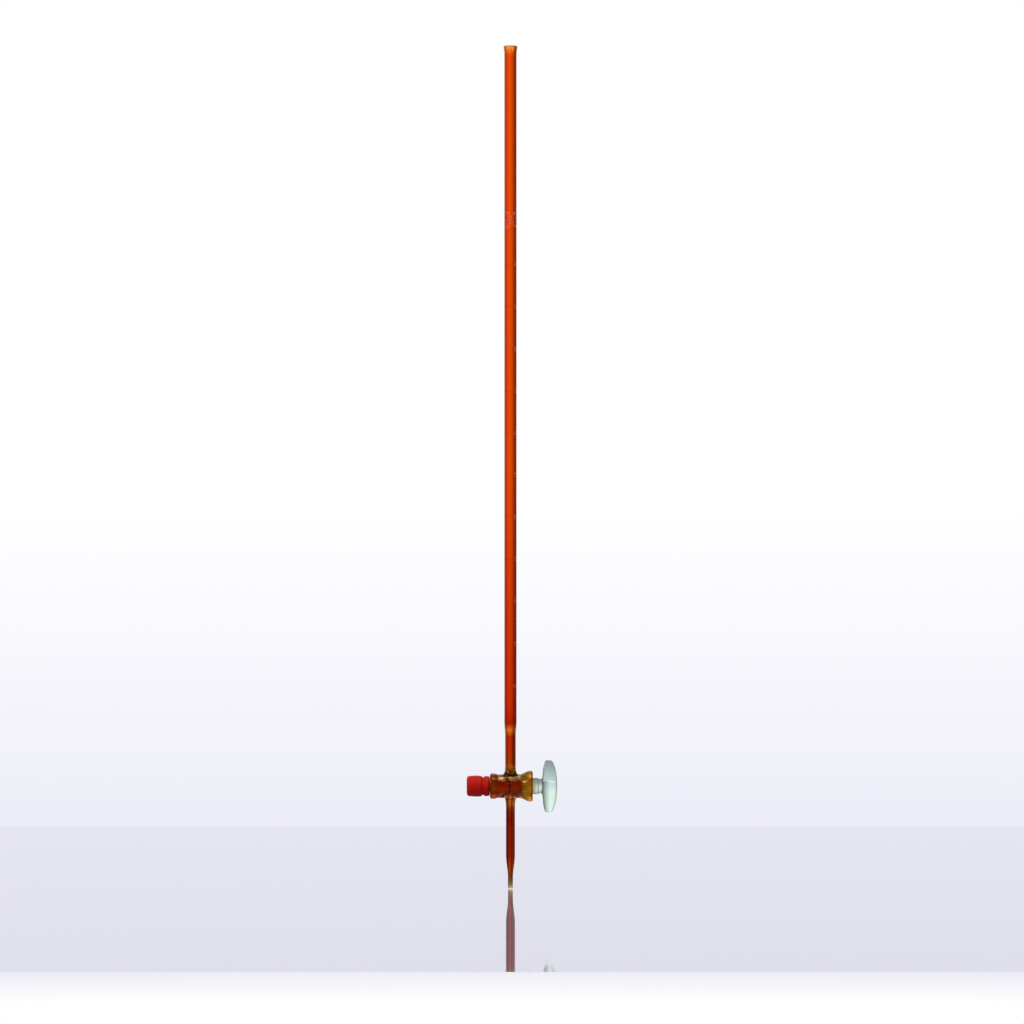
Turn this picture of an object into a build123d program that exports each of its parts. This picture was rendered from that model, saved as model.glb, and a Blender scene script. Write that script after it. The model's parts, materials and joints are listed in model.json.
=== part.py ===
from build123d import *

import os
from math import cos, degrees, pi, radians, sin, sqrt

# A 10 mL burette of amber glass with a straight-bore glass stopcock.
# Millimetres. The origin is the centre of the jet's outlet, +Z runs up the tube and
# +X points to the handle of the stopcock's key. The front is -Y.

# ---- measuring tube
CAPACITY_ML = 10
SCALE_LENGTH = 300.0
ZERO_Z = 444.3
OVERALL_HEIGHT = 600.0
TUBE_R = 4.35
BORE_R = sqrt(CAPACITY_ML * 1000 / (pi * SCALE_LENGTH))
RIM_R = 4.95
RIM_HEIGHT = 5.4
LIP = 1.0
SHOULDER_LOW = 109.0
SHOULDER_HIGH = 118.3

# ---- inlet tube between the shoulder and the stopcock
INLET_R = 3.775
INLET_BORE_R = 2.4
FOOT_R = 5.15
FOOT_HEIGHT = 4.6

# ---- stopcock barrel, turned about X
BARREL_Z = 72.7
WAIST_R = 8.35
FLANGE_R = 11.05
FLANGE_INNER_X = 13.6
BIG_END_X = 16.0
SMALL_RIM_R = 9.1
SMALL_END_X = -14.75
PORT_R = 1.25

# ---- stopcock key, turned about X, and its 1 in 10 ground taper
TAPER_SLOPE = 0.05
PLUG_BIG_R = 6.0
PLUG_BIG_X = 19.2
PLUG_SMALL_X = -16.0
GROUND_CLEARANCE = 0.03
KEY_BORE_R = 1.0
NECK_R = 5.2
TAIL_R = 3.7
TAIL_END_X = -27.0
TAIL_GROOVE_X = -20.5
TAIL_GROOVE_DEPTH = 0.35
HANDLE_X = (22.5, 33.5)
HANDLE_END_X = (24.2, 30.9)
HANDLE_HALF_HEIGHT = 18.35
HANDLE_SHOULDER_Z = 15.0
HANDLE_HALF_DEPTH = 6.2
HANDLE_EDGE_R = 1.8

# ---- rubber retaining cap, turned about X
CAP_GAP = 0.1
CAP_END_X = -31.2
CAP_R = 7.3
CAP_BULGE_R = 7.55
CAP_WAIST_R = 6.3
CAP_COLLAR_R = 6.95
CAP_BORE_END_X = -27.6
CAP_CLEARANCE = 0.05

# ---- delivery jet
JET_R = 3.215
JET_FOOT_R = 3.9
JET_TAPER_TOP = 22.0
JET_TAPER_LOW = 8.6
JET_NECK_R = 1.775
JET_TIP_R = 1.675
JET_BORE_R = 1.0
ORIFICE_R = 0.45

# ---- fired-on scale
MARK_DEPTH = 0.05
MARK_WIDTH = 0.3
FINE_MARK_WIDTH = 0.2
RING_STEP = SCALE_LENGTH / CAPACITY_ML
NUMERAL_AZIMUTH = 50.0
NUMERAL_GAP = 52.0
NUMERAL_HEIGHT = 2.5
SCALE_AZIMUTH = 80.0
TENTH_SWEEP = 55.0
TWENTIETH_SWEEP = 34.0
LEGEND_AZIMUTH = 7.5
LEGEND_HEIGHT = 2.2
LEGEND_TOP_Z = 480.8
LEGEND_PITCH = 3.2
LEGEND_ROWS = {
    "legend_capacity": "10 mL",
    "legend_division": "0.05 mL",
    "legend_tolerance": "±0.05 mL",
    "legend_temperature": "20 °C",
}
STROKE = 0.28

# A glyph is drawn in a cell 4 wide and 6 high as open strokes, each a list of points and
# the radii of its corners, and as closed loops, each a centre, a width and a height.
CELL_WIDTH, CELL_HEIGHT, CELL_GAP = 4.0, 6.0, 1.5
STROKES = {
    "1": [([(0.8, 4.8), (2.2, 6), (2.2, 0)], None)],
    "2": [([(0, 4.6), (0, 6), (4, 6), (4, 3.6), (0, 0)], [1.3, 1.9, 1.2]), ([(0, 0), (4, 0)], None)],
    "3": [
        ([(0, 6), (3.8, 6), (3.8, 3.2), (1.4, 3.2)], [1.3, 1.3]),
        ([(1.4, 3.2), (4, 3.2), (4, 0), (0, 0)], [1.5, 1.5]),
    ],
    "4": [([(3, 0), (3, 6)], None), ([(3, 6), (0, 1.8)], None), ([(0, 1.8), (4, 1.8)], None)],
    "5": [
        ([(3.8, 6), (0.2, 6)], None),
        ([(0.2, 6), (0.2, 3.6), (4, 3.6), (4, 0), (0, 0)], [0.3, 1.7, 1.7]),
    ],
    "6": [([(3.4, 6), (0, 6), (0, 1.8)], [1.9])],
    "7": [([(0, 6), (4, 6)], None), ([(4, 6), (1.4, 0)], None)],
    "9": [([(0.6, 0), (4, 0), (4, 4.2)], [1.9])],
    "m": [([(0, 0), (0, 4), (4, 4), (4, 0)], [1, 1]), ([(2, 0), (2, 4)], None)],
    "L": [([(0, 6), (0, 0)], None), ([(0, 0), (3.6, 0)], None)],
    "C": [([(4, 4.8), (4, 6), (0, 6), (0, 0), (4, 0), (4, 1.2)], [1.1, 1.9, 1.9, 1.1])],
    "±": [
        ([(2, 1.6), (2, 5.2)], None),
        ([(0.2, 3.4), (3.8, 3.4)], None),
        ([(0.2, 0.3), (3.8, 0.3)], None),
    ],
    ".": [([(1.8, 0), (2.4, 0)], None)],
}
LOOPS = {
    "0": [((2, 3), 4, 6)],
    "6": [((2, 1.8), 4, 3.6)],
    "8": [((2, 1.65), 4, 3.3), ((2, 4.65), 3.4, 2.7)],
    "9": [((2, 4.2), 4, 3.6)],
    "°": [((1, 5), 2, 2)],
}


def turned(draw_outline, axis):
    """Revolve a closed outline of (radius, height) or (x, radius) points about an axis."""
    with BuildSketch(Plane.XZ) as outline:
        with BuildLine():
            draw_outline()
        make_face()
    return revolve(outline.sketch, axis)


def crosswise(solid):
    """Lift a solid turned about X to the height of the stopcock's axis."""
    return Pos(0, 0, BARREL_Z) * solid


def waist_core():
    return crosswise(Rot(0, 90, 0) * Cylinder(WAIST_R, 4 * WAIST_R))


def plug_radius(x):
    return PLUG_BIG_R - TAPER_SLOPE * (PLUG_BIG_X - x)


def socket_radius(x):
    return plug_radius(x) + GROUND_CLEARANCE


# ---------------------------------------------------------------- glass body
def measuring_tube():
    flare_z = OVERALL_HEIGHT - RIM_HEIGHT
    lip_z = OVERALL_HEIGHT - LIP / 2
    lip_inner_r = RIM_R - LIP
    middle = (SHOULDER_LOW + SHOULDER_HIGH) / 2

    def outline():
        Bezier((INLET_R, SHOULDER_LOW), (INLET_R, middle), (TUBE_R, middle), (TUBE_R, SHOULDER_HIGH))
        Line((TUBE_R, SHOULDER_HIGH), (TUBE_R, flare_z))
        Bezier((TUBE_R, flare_z), (TUBE_R, lip_z - 2.6), (RIM_R, lip_z - 1.6), (RIM_R, lip_z))
        ThreePointArc((RIM_R, lip_z), (RIM_R - LIP / 2, OVERALL_HEIGHT), (lip_inner_r, lip_z))
        Bezier((lip_inner_r, lip_z), (lip_inner_r, lip_z - 1.6), (BORE_R, lip_z - 2.4), (BORE_R, flare_z))
        Line((BORE_R, flare_z), (BORE_R, SHOULDER_HIGH))
        Bezier(
            (BORE_R, SHOULDER_HIGH),
            (BORE_R, middle),
            (INLET_BORE_R, middle),
            (INLET_BORE_R, SHOULDER_LOW),
        )
        Line((INLET_BORE_R, SHOULDER_LOW), (INLET_R, SHOULDER_LOW))

    return turned(outline, Axis.Z)


def inlet_tube():
    crown_z = BARREL_Z + WAIST_R
    foot_z = crown_z + FOOT_HEIGHT

    def outline():
        Line((INLET_R, SHOULDER_LOW), (INLET_R, foot_z))
        Bezier((INLET_R, foot_z), (INLET_R, crown_z + 1.2), (FOOT_R, crown_z + 1.4), (FOOT_R, crown_z))
        Polyline((FOOT_R, crown_z), (FOOT_R, BARREL_Z), (PORT_R, BARREL_Z), (PORT_R, crown_z))
        Bezier(
            (PORT_R, crown_z),
            (PORT_R, crown_z + 2),
            (INLET_BORE_R, crown_z + 2),
            (INLET_BORE_R, foot_z),
        )
        Line((INLET_BORE_R, foot_z), (INLET_BORE_R, SHOULDER_LOW))
        Line((INLET_BORE_R, SHOULDER_LOW), (INLET_R, SHOULDER_LOW))

    return turned(outline, Axis.Z) - waist_core()


def stopcock_barrel():
    edge = 1.4
    bevel = edge * (1 - cos(radians(45)))
    flare_x = 5.3
    rim_x = -9.3
    rim_full_x = rim_x - 2.3

    def outline():
        Line((BIG_END_X, socket_radius(BIG_END_X)), (BIG_END_X, FLANGE_R - edge))
        ThreePointArc(
            (BIG_END_X, FLANGE_R - edge),
            (BIG_END_X - bevel, FLANGE_R - bevel),
            (BIG_END_X - edge, FLANGE_R),
        )
        Line((BIG_END_X - edge, FLANGE_R), (FLANGE_INNER_X, FLANGE_R))
        Bezier((FLANGE_INNER_X, FLANGE_R), (11.2, FLANGE_R), (8.8, WAIST_R), (flare_x, WAIST_R))
        Line((flare_x, WAIST_R), (rim_x, WAIST_R))
        Bezier(
            (rim_x, WAIST_R),
            (rim_x - 1.0, WAIST_R),
            (rim_x - 1.1, SMALL_RIM_R),
            (rim_full_x, SMALL_RIM_R),
        )
        Line((rim_full_x, SMALL_RIM_R), (SMALL_END_X + edge, SMALL_RIM_R))
        ThreePointArc(
            (SMALL_END_X + edge, SMALL_RIM_R),
            (SMALL_END_X + bevel, SMALL_RIM_R - bevel),
            (SMALL_END_X, SMALL_RIM_R - edge),
        )
        Line((SMALL_END_X, SMALL_RIM_R - edge), (SMALL_END_X, socket_radius(SMALL_END_X)))
        Line((SMALL_END_X, socket_radius(SMALL_END_X)), (BIG_END_X, socket_radius(BIG_END_X)))

    return crosswise(turned(outline, Axis.X) - Cylinder(PORT_R, 4 * WAIST_R))


def delivery_jet():
    keel_z = BARREL_Z - WAIST_R
    foot_z = keel_z - 7.3
    mouth_z = 4.0
    bore_low_z = JET_TAPER_LOW + 5.4

    def outline():
        Polyline((PORT_R, BARREL_Z), (JET_FOOT_R, BARREL_Z), (JET_FOOT_R, keel_z))
        Bezier((JET_FOOT_R, keel_z), (JET_FOOT_R, keel_z - 1.8), (JET_R, keel_z - 2.8), (JET_R, foot_z))
        Line((JET_R, foot_z), (JET_R, JET_TAPER_TOP))
        Bezier(
            (JET_R, JET_TAPER_TOP),
            (JET_R, JET_TAPER_TOP - 4.5),
            (JET_NECK_R, JET_TAPER_LOW + 4.5),
            (JET_NECK_R, JET_TAPER_LOW),
        )
        Polyline((JET_NECK_R, JET_TAPER_LOW), (JET_TIP_R, 0.2), (JET_TIP_R - 0.2, 0), (ORIFICE_R, 0))
        Polyline((ORIFICE_R, 0), (ORIFICE_R, mouth_z), (JET_BORE_R, bore_low_z))
        Polyline((JET_BORE_R, bore_low_z), (JET_BORE_R, keel_z - 3.0), (PORT_R, keel_z), (PORT_R, BARREL_Z))

    return turned(outline, Axis.Z) - waist_core()


# ---------------------------------------------------------------- stopcock key and its cap
def key_handle():
    low_x, high_x = HANDLE_X
    end_low_x, end_high_x = HANDLE_END_X
    middle_x = (end_low_x + end_high_x) / 2
    shoulder, top = HANDLE_SHOULDER_Z, HANDLE_HALF_HEIGHT
    with BuildSketch(Plane.XZ) as side:
        with BuildLine():
            ThreePointArc((end_low_x, -shoulder), (low_x, 0), (end_low_x, shoulder))
            ThreePointArc((end_low_x, shoulder), (middle_x, top), (end_high_x, shoulder))
            ThreePointArc((end_high_x, shoulder), (high_x, 0), (end_high_x, -shoulder))
            ThreePointArc((end_high_x, -shoulder), (middle_x, -top), (end_low_x, -shoulder))
        make_face()
    bar = extrude(side.sketch, amount=2 * HANDLE_HALF_DEPTH, both=True)
    oval = Plane.YZ * Ellipse(HANDLE_HALF_DEPTH, 1.12 * top)
    bar = bar & extrude(oval, amount=2 * high_x)
    return fillet(bar.edges().filter_by(lambda edge: edge.length > top), HANDLE_EDGE_R)


def stopcock_key():
    def outline():
        Line((TAIL_END_X, 0), (TAIL_END_X, TAIL_R - 0.6))
        ThreePointArc(
            (TAIL_END_X, TAIL_R - 0.6),
            (TAIL_END_X + 0.6 * (1 - cos(radians(45))), TAIL_R - 0.6 * (1 - cos(radians(45)))),
            (TAIL_END_X + 0.6, TAIL_R),
        )
        Line((TAIL_END_X + 0.6, TAIL_R), (TAIL_GROOVE_X - 1, TAIL_R))
        ThreePointArc(
            (TAIL_GROOVE_X - 1, TAIL_R),
            (TAIL_GROOVE_X, TAIL_R - TAIL_GROOVE_DEPTH),
            (TAIL_GROOVE_X + 1, TAIL_R),
        )
        Line((TAIL_GROOVE_X + 1, TAIL_R), (PLUG_SMALL_X, TAIL_R))
        Line((PLUG_SMALL_X, TAIL_R), (PLUG_SMALL_X, plug_radius(PLUG_SMALL_X)))
        Line((PLUG_SMALL_X, plug_radius(PLUG_SMALL_X)), (PLUG_BIG_X - 0.6, plug_radius(PLUG_BIG_X - 0.6)))
        Bezier(
            (PLUG_BIG_X - 0.6, plug_radius(PLUG_BIG_X - 0.6)),
            (PLUG_BIG_X + 0.4, PLUG_BIG_R),
            (PLUG_BIG_X + 0.6, NECK_R),
            (PLUG_BIG_X + 1.6, NECK_R),
        )
        Bezier(
            (PLUG_BIG_X + 1.6, NECK_R),
            (HANDLE_X[0] - 0.4, NECK_R),
            (HANDLE_X[0] + 0.6, NECK_R + 0.2),
            (HANDLE_X[0] + 1.2, NECK_R + 0.8),
        )
        Polyline((HANDLE_X[0] + 1.2, NECK_R + 0.8), (HANDLE_X[0] + 1.2, 0), (TAIL_END_X, 0))

    turned_key = turned(outline, Axis.X) - Cylinder(KEY_BORE_R, 4 * PLUG_BIG_R)
    return crosswise(turned_key + key_handle())


def retaining_cap():
    mouth_x = SMALL_END_X - CAP_GAP
    bore_r = TAIL_R + CAP_CLEARANCE
    throat_r = plug_radius(PLUG_SMALL_X) + 0.25
    throat_x = PLUG_SMALL_X - 0.3
    groove_x = -19.6
    groove_half = 0.6
    edge = 0.9
    bevel = edge * (1 - cos(radians(45)))
    collar_x = mouth_x - edge
    groove_low = (groove_x - groove_half, CAP_WAIST_R + 0.35)
    groove_high = (groove_x + groove_half, CAP_WAIST_R + 0.35)

    def outline():
        Line((CAP_END_X, 0), (CAP_END_X, CAP_R - 2.2))
        Bezier((CAP_END_X, CAP_R - 2.2), (CAP_END_X, CAP_R - 0.7), (-30.0, CAP_R), (-28.4, CAP_R))
        Bezier((-28.4, CAP_R), (-26.5, CAP_R), (-25.8, CAP_BULGE_R), (-24.2, CAP_BULGE_R))
        Bezier((-24.2, CAP_BULGE_R), (-22.6, CAP_BULGE_R), (-20.4, CAP_R), groove_low)
        ThreePointArc(groove_low, (groove_x, CAP_WAIST_R), groove_high)
        Bezier(groove_high, (-18.8, CAP_COLLAR_R), (-18.2, CAP_COLLAR_R), (-17.2, CAP_COLLAR_R))
        Line((-17.2, CAP_COLLAR_R), (collar_x, CAP_COLLAR_R))
        ThreePointArc(
            (collar_x, CAP_COLLAR_R),
            (mouth_x - bevel, CAP_COLLAR_R - bevel),
            (mouth_x, CAP_COLLAR_R - edge),
        )
        Polyline((mouth_x, CAP_COLLAR_R - edge), (mouth_x, throat_r), (throat_x, throat_r))
        Line((throat_x, throat_r), (throat_x, bore_r))
        Polyline((throat_x, bore_r), (CAP_BORE_END_X, bore_r), (CAP_BORE_END_X, 0), (CAP_END_X, 0))

    return crosswise(turned(outline, Axis.X))


# ---------------------------------------------------------------- fired-on scale
def math_angle(azimuth):
    """The angle from +X of an azimuth counted from the front towards +X."""
    return azimuth - 90.0


def mark_arc(z, start_azimuth, sweep, width):
    """A thin band of enamel on the tube, from an azimuth and round the right-hand side."""
    band = Pos(TUBE_R + MARK_DEPTH / 2, 0, z) * (Plane.XZ * Rectangle(MARK_DEPTH, width))
    return Rot(0, 0, math_angle(start_azimuth)) * revolve(band, Axis.Z, sweep)


def ring_z(millilitres):
    return ZERO_Z - RING_STEP * millilitres


def ring_mark(millilitres):
    start = NUMERAL_AZIMUTH + NUMERAL_GAP / 2
    return mark_arc(ring_z(millilitres), start, 360 - NUMERAL_GAP, MARK_WIDTH)


def fine_marks(divisions_per_ml, skip_every, sweep):
    """The marks between the rings, without those that a longer mark already stands on."""
    count = CAPACITY_ML * divisions_per_ml
    steps = [n for n in range(1, count) if n % skip_every]
    step = RING_STEP / divisions_per_ml
    return [mark_arc(ZERO_Z - n * step, SCALE_AZIMUTH, sweep, FINE_MARK_WIDTH) for n in steps]


def stroke_face(points, radii):
    """A pen stroke of constant width with round ends along a line of rounded corners."""
    line = FilletPolyline(*points, radius=radii) if radii else Polyline(*points)
    face = Pos(line @ 0) * Circle(STROKE / 2)
    for edge in line.edges():
        face = face + trace(edge, STROKE) + Pos(edge @ 1) * Circle(STROKE / 2)
    return face


def loop_face(centre, width, height):
    """A closed pen stroke round a rounded rectangle."""
    corner = 0.49 * min(width, height)
    outer = RectangleRounded(width + STROKE, height + STROKE, corner + STROKE / 2)
    inner = RectangleRounded(width - STROKE, height - STROKE, corner - STROKE / 2)
    return Pos(*centre) * (outer - inner)


def glyph(character, height):
    """The flat face of one character, with its lower left corner at the origin."""
    unit = height / CELL_HEIGHT
    faces = []
    for points, radii in STROKES.get(character, []):
        scaled = [(x * unit, y * unit) for x, y in points]
        faces.append(stroke_face(scaled, radii and [r * unit for r in radii]))
    for (x, y), width, tall in LOOPS.get(character, []):
        faces.append(loop_face((x * unit, y * unit), width * unit, tall * unit))
    face = faces[0]
    for more in faces[1:]:
        face = face + more
    return face


def lettering(text, z, azimuth, height):
    """Characters laid round the tube at one height, each a thin solid on the glass."""
    unit = height / CELL_HEIGHT
    advance = (CELL_WIDTH + CELL_GAP) * unit
    width = advance * len(text) - CELL_GAP * unit
    deposit = Pos(0, 0, z) * (Cylinder(TUBE_R + MARK_DEPTH, 2 * height) - Cylinder(TUBE_R, 2 * height))
    solids = []
    for place, character in enumerate(text):
        if character == " ":
            continue
        middle = place * advance + CELL_WIDTH * unit / 2 - width / 2
        angle = radians(math_angle(azimuth) + degrees(middle / TUBE_R))
        outward = Vector(cos(angle), sin(angle), 0)
        tangent = Vector(-sin(angle), cos(angle), 0)
        plane = Plane(origin=outward * (TUBE_R - 1) + Vector(0, 0, z), x_dir=tangent, z_dir=outward)
        flat = Pos(-CELL_WIDTH * unit / 2, -height / 2) * glyph(character, height)
        solids += ((plane * extrude(flat, amount=2)) & deposit).solids()
    return solids


# ---------------------------------------------------------------- the assembly
def write(name, solids):
    """Write one node: a single solid, or a group of separate ones."""
    solids = solids if isinstance(solids, list) else solids.solids()
    node = Compound(children=solids) if len(solids) > 1 else solids[0]
    node.label = name
    export_step(node, f"parts/{name}.step")


def main():
    os.makedirs("parts", exist_ok=True)
    write("measuring_tube", measuring_tube())
    write("inlet_tube", inlet_tube())
    write("stopcock_barrel", stopcock_barrel())
    write("delivery_jet", delivery_jet())
    write("stopcock_key", stopcock_key())
    write("retaining_cap", retaining_cap())
    for millilitres in range(CAPACITY_ML + 1):
        write(f"ring_mark_{millilitres:02d}", ring_mark(millilitres))
        numeral = lettering(str(millilitres), ring_z(millilitres), NUMERAL_AZIMUTH, NUMERAL_HEIGHT)
        write(f"numeral_{millilitres:02d}", numeral)
    write("tenth_marks", fine_marks(10, 10, TENTH_SWEEP))
    write("twentieth_marks", fine_marks(20, 2, TWENTIETH_SWEEP))
    for row, (name, text) in enumerate(LEGEND_ROWS.items()):
        row_z = LEGEND_TOP_Z - row * LEGEND_PITCH
        write(name, lettering(text, row_z, LEGEND_AZIMUTH, LEGEND_HEIGHT))


main()
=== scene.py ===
import json
import math

import bmesh
import bpy
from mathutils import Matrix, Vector


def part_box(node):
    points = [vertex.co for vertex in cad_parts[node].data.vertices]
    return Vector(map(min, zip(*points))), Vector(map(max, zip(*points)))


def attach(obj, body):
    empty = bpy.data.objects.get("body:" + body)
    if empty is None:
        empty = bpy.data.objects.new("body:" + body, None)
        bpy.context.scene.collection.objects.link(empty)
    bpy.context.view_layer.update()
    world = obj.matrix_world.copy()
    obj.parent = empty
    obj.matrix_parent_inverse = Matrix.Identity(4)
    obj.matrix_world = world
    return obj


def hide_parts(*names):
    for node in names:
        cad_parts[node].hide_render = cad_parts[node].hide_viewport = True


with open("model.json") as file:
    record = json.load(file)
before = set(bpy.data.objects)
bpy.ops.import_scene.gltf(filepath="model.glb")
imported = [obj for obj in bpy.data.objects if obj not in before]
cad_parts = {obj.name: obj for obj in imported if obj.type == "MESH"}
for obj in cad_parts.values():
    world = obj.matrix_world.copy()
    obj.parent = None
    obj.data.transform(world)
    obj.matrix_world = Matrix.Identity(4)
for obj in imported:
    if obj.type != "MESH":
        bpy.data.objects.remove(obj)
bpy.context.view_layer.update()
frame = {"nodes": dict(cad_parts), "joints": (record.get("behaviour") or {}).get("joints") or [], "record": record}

bl_info = {
    "name": "Amber Burette",
    "version": (1, 0, 0),
    "blender": (4, 5, 0),
    "location": "View3D > Sidebar > Burette",
    "description": "A slim amber burette with a glass stopcock, its key, cap and fired scale",
    "category": "Add Mesh",
}

MM = 0.001

# ------------------------------------------------------------------ sizes from the frame
MOUNTS = {mount["name"]: mount for mount in frame["record"]["mounts"]}
KEY_JOINT = next(joint for joint in frame["joints"] if joint["name"] == "key_turn")
STOPCOCK_Z = KEY_JOINT["pos_m"][2]
BORE_R = MOUNTS["mouth"]["dims"]["r_mm"] * MM
MARK_DEPTH = 0.05 * MM
TUBE_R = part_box("ring_mark_00")[1].y - MARK_DEPTH
JET_R = MOUNTS["jet_stem"]["dims"]["r_mm"] * MM
RIM_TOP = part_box("measuring_tube")[1].z
RIM_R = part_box("measuring_tube")[1].x
SHOULDER_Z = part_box("measuring_tube")[0].z
BARREL_LOW, BARREL_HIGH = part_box("stopcock_barrel")
KEY_LOW, KEY_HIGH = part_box("stopcock_key")
CAP_LOW, CAP_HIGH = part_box("retaining_cap")
SCALE_NODES = sorted(
    name for name in frame["nodes"] if name.startswith("ring_mark") or name.endswith("_marks")
)
FIGURE_NODES = sorted(name for name in frame["nodes"] if name.startswith(("numeral", "legend")))

# Control rings have this many points, and smoothing draws a ring in by this share.
SIDES = 16
STEP = math.tau / SIDES
ROUND = (2 + math.cos(STEP)) / 3
SMOOTH_LEVELS = 2
FINE_LEVELS = 3
STAINED_SIDE = "stained_side"
# Millimetres between plug and socket: enough for the faceted plug to turn without touching.
PLUG_CLEARANCE = 0.15


# ------------------------------------------------------------------ what a user may change
class BuretteGlass(bpy.types.PropertyGroup):
    """Sizes and colours of the fused amber glass body."""

    inlet_radius: bpy.props.FloatProperty(
        name="Inlet radius", description="Outside radius of the tube between shoulder and stopcock",
        default=3.775 * MM, unit="LENGTH", precision=5,
    )
    inlet_bore: bpy.props.FloatProperty(
        name="Inlet bore", description="Bore radius of that tube",
        default=2.4 * MM, unit="LENGTH", precision=5,
    )
    waist_radius: bpy.props.FloatProperty(
        name="Waist radius", description="Outside radius of the stopcock barrel's waist",
        default=8.35 * MM, unit="LENGTH", precision=5,
    )
    port_radius: bpy.props.FloatProperty(
        name="Port radius", description="Radius of the ports through the barrel's wall",
        default=1.25 * MM, unit="LENGTH", precision=5,
    )
    stain: bpy.props.FloatVectorProperty(
        name="Stain", description="Amber stain on the measuring tube", subtype="COLOR", size=3, min=0, max=1,
        default=(0.88, 0.072, 0.0015),
    )
    barrel_stain: bpy.props.FloatVectorProperty(
        name="Barrel stain", description="Deeper stain on the stopcock barrel", subtype="COLOR", size=3,
        min=0, max=1, default=(0.42, 0.02, 0.001),
    )
    flange_stain: bpy.props.FloatVectorProperty(
        name="Flange stain", description="Yellower stain on the barrel's flange", subtype="COLOR", size=3,
        min=0, max=1, default=(0.92, 0.36, 0.012),
    )


class BuretteKey(bpy.types.PropertyGroup):
    """Sizes and colours of the stopcock key."""

    bore_radius: bpy.props.FloatProperty(
        name="Bore radius", description="Radius of the hole across the plug",
        default=1.0 * MM, unit="LENGTH", precision=5,
    )
    neck_radius: bpy.props.FloatProperty(
        name="Neck radius", description="Radius of the neck under the handle",
        default=5.2 * MM, unit="LENGTH", precision=5,
    )
    tail_radius: bpy.props.FloatProperty(
        name="Tail radius", description="Radius of the tail that carries the cap",
        default=3.7 * MM, unit="LENGTH", precision=5,
    )
    tint: bpy.props.FloatVectorProperty(
        name="Tint", description="Faint green of the pressed glass", subtype="COLOR", size=3, min=0, max=1,
        default=(0.76, 0.94, 0.84),
    )


class BuretteTrim(bpy.types.PropertyGroup):
    """Colours of the cap and of the scale."""

    rubber: bpy.props.FloatVectorProperty(
        name="Rubber", description="Colour of the retaining cap", subtype="COLOR", size=3, min=0, max=1,
        default=(0.62, 0.009, 0.001),
    )
    scale_stain: bpy.props.FloatVectorProperty(
        name="Scale stain", description="Thin brown stain of the rings and fine marks",
        subtype="COLOR", size=3,
        min=0, max=1, default=(0.85, 0.66, 0.36),
    )
    figure_enamel: bpy.props.FloatVectorProperty(
        name="Figure enamel", description="Thin pale enamel of the numerals and the legend",
        subtype="COLOR", size=3,
        min=0, max=1, default=(0.92, 0.58, 0.28),
    )


class BuretteStage(bpy.types.PropertyGroup):
    """Camera and floor."""

    distance: bpy.props.FloatProperty(
        name="Camera distance", description="From the lens to the tube", default=3.2, unit="LENGTH",
    )
    field: bpy.props.FloatProperty(
        name="Field", description="Width of the view at the tube", default=0.7297, unit="LENGTH", precision=4,
    )
    height: bpy.props.FloatProperty(
        name="Camera height", description="Height of the lens above the jet's outlet",
        default=0.268, unit="LENGTH", precision=4,
    )
    floor: bpy.props.FloatVectorProperty(
        name="Floor", description="Colour of the floor", subtype="COLOR", size=3, min=0, max=1,
        default=(0.29, 0.285, 0.32),
    )
    floor_back: bpy.props.FloatProperty(
        name="Floor back", description="Where the floor ends behind the jet",
        default=0.632, unit="LENGTH", precision=4,
    )
    floor_front: bpy.props.FloatProperty(
        name="Floor front", description="Where the floor ends before the jet",
        default=-0.579, unit="LENGTH", precision=4,
    )


# ------------------------------------------------------------------ shared shader groups
def new_group(name, inputs, outputs):
    """A node group with float inputs (name, default) and outputs (name, socket type)."""
    group = bpy.data.node_groups.new(name, "ShaderNodeTree")
    for label, default in inputs:
        socket = group.interface.new_socket(label, in_out="INPUT", socket_type="NodeSocketFloat")
        socket.default_value = default
    for label, kind in outputs:
        group.interface.new_socket(label, in_out="OUTPUT", socket_type=kind)
    return group, group.nodes.new("NodeGroupInput"), group.nodes.new("NodeGroupOutput")


def math_node(tree, operation, first, second=None):
    node = tree.nodes.new("ShaderNodeMath")
    node.operation = operation
    for socket, value in zip(node.inputs, (first, second)):
        if isinstance(value, (int, float)):
            socket.default_value = value
        elif value is not None:
            tree.links.new(value, socket)
    return node.outputs[0]


def ease(tree, value, low, high):
    """0 below low, 1 above high, smooth between; low may be the larger."""
    node = tree.nodes.new("ShaderNodeMapRange")
    node.interpolation_type = "SMOOTHSTEP"
    for name, source in (("Value", value), ("From Min", low), ("From Max", high)):
        if isinstance(source, (int, float)):
            node.inputs[name].default_value = source
        else:
            tree.links.new(source, node.inputs[name])
    return node.outputs["Result"]


def object_axes(tree):
    """Object coordinates, whole and split into X, Y and Z."""
    coordinates = tree.nodes.new("ShaderNodeTexCoord").outputs["Object"]
    split = tree.nodes.new("ShaderNodeSeparateXYZ")
    tree.links.new(coordinates, split.inputs[0])
    return coordinates, split.outputs


def noise(tree, coordinates, scale, detail=2.0, roughness=0.5):
    node = tree.nodes.new("ShaderNodeTexNoise")
    node.inputs["Detail"].default_value = detail
    node.inputs["Roughness"].default_value = roughness
    if isinstance(scale, (int, float)):
        node.inputs["Scale"].default_value = scale
    else:
        tree.links.new(scale, node.inputs["Scale"])
    tree.links.new(coordinates, node.inputs["Vector"])
    return node.outputs["Fac"]


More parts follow.
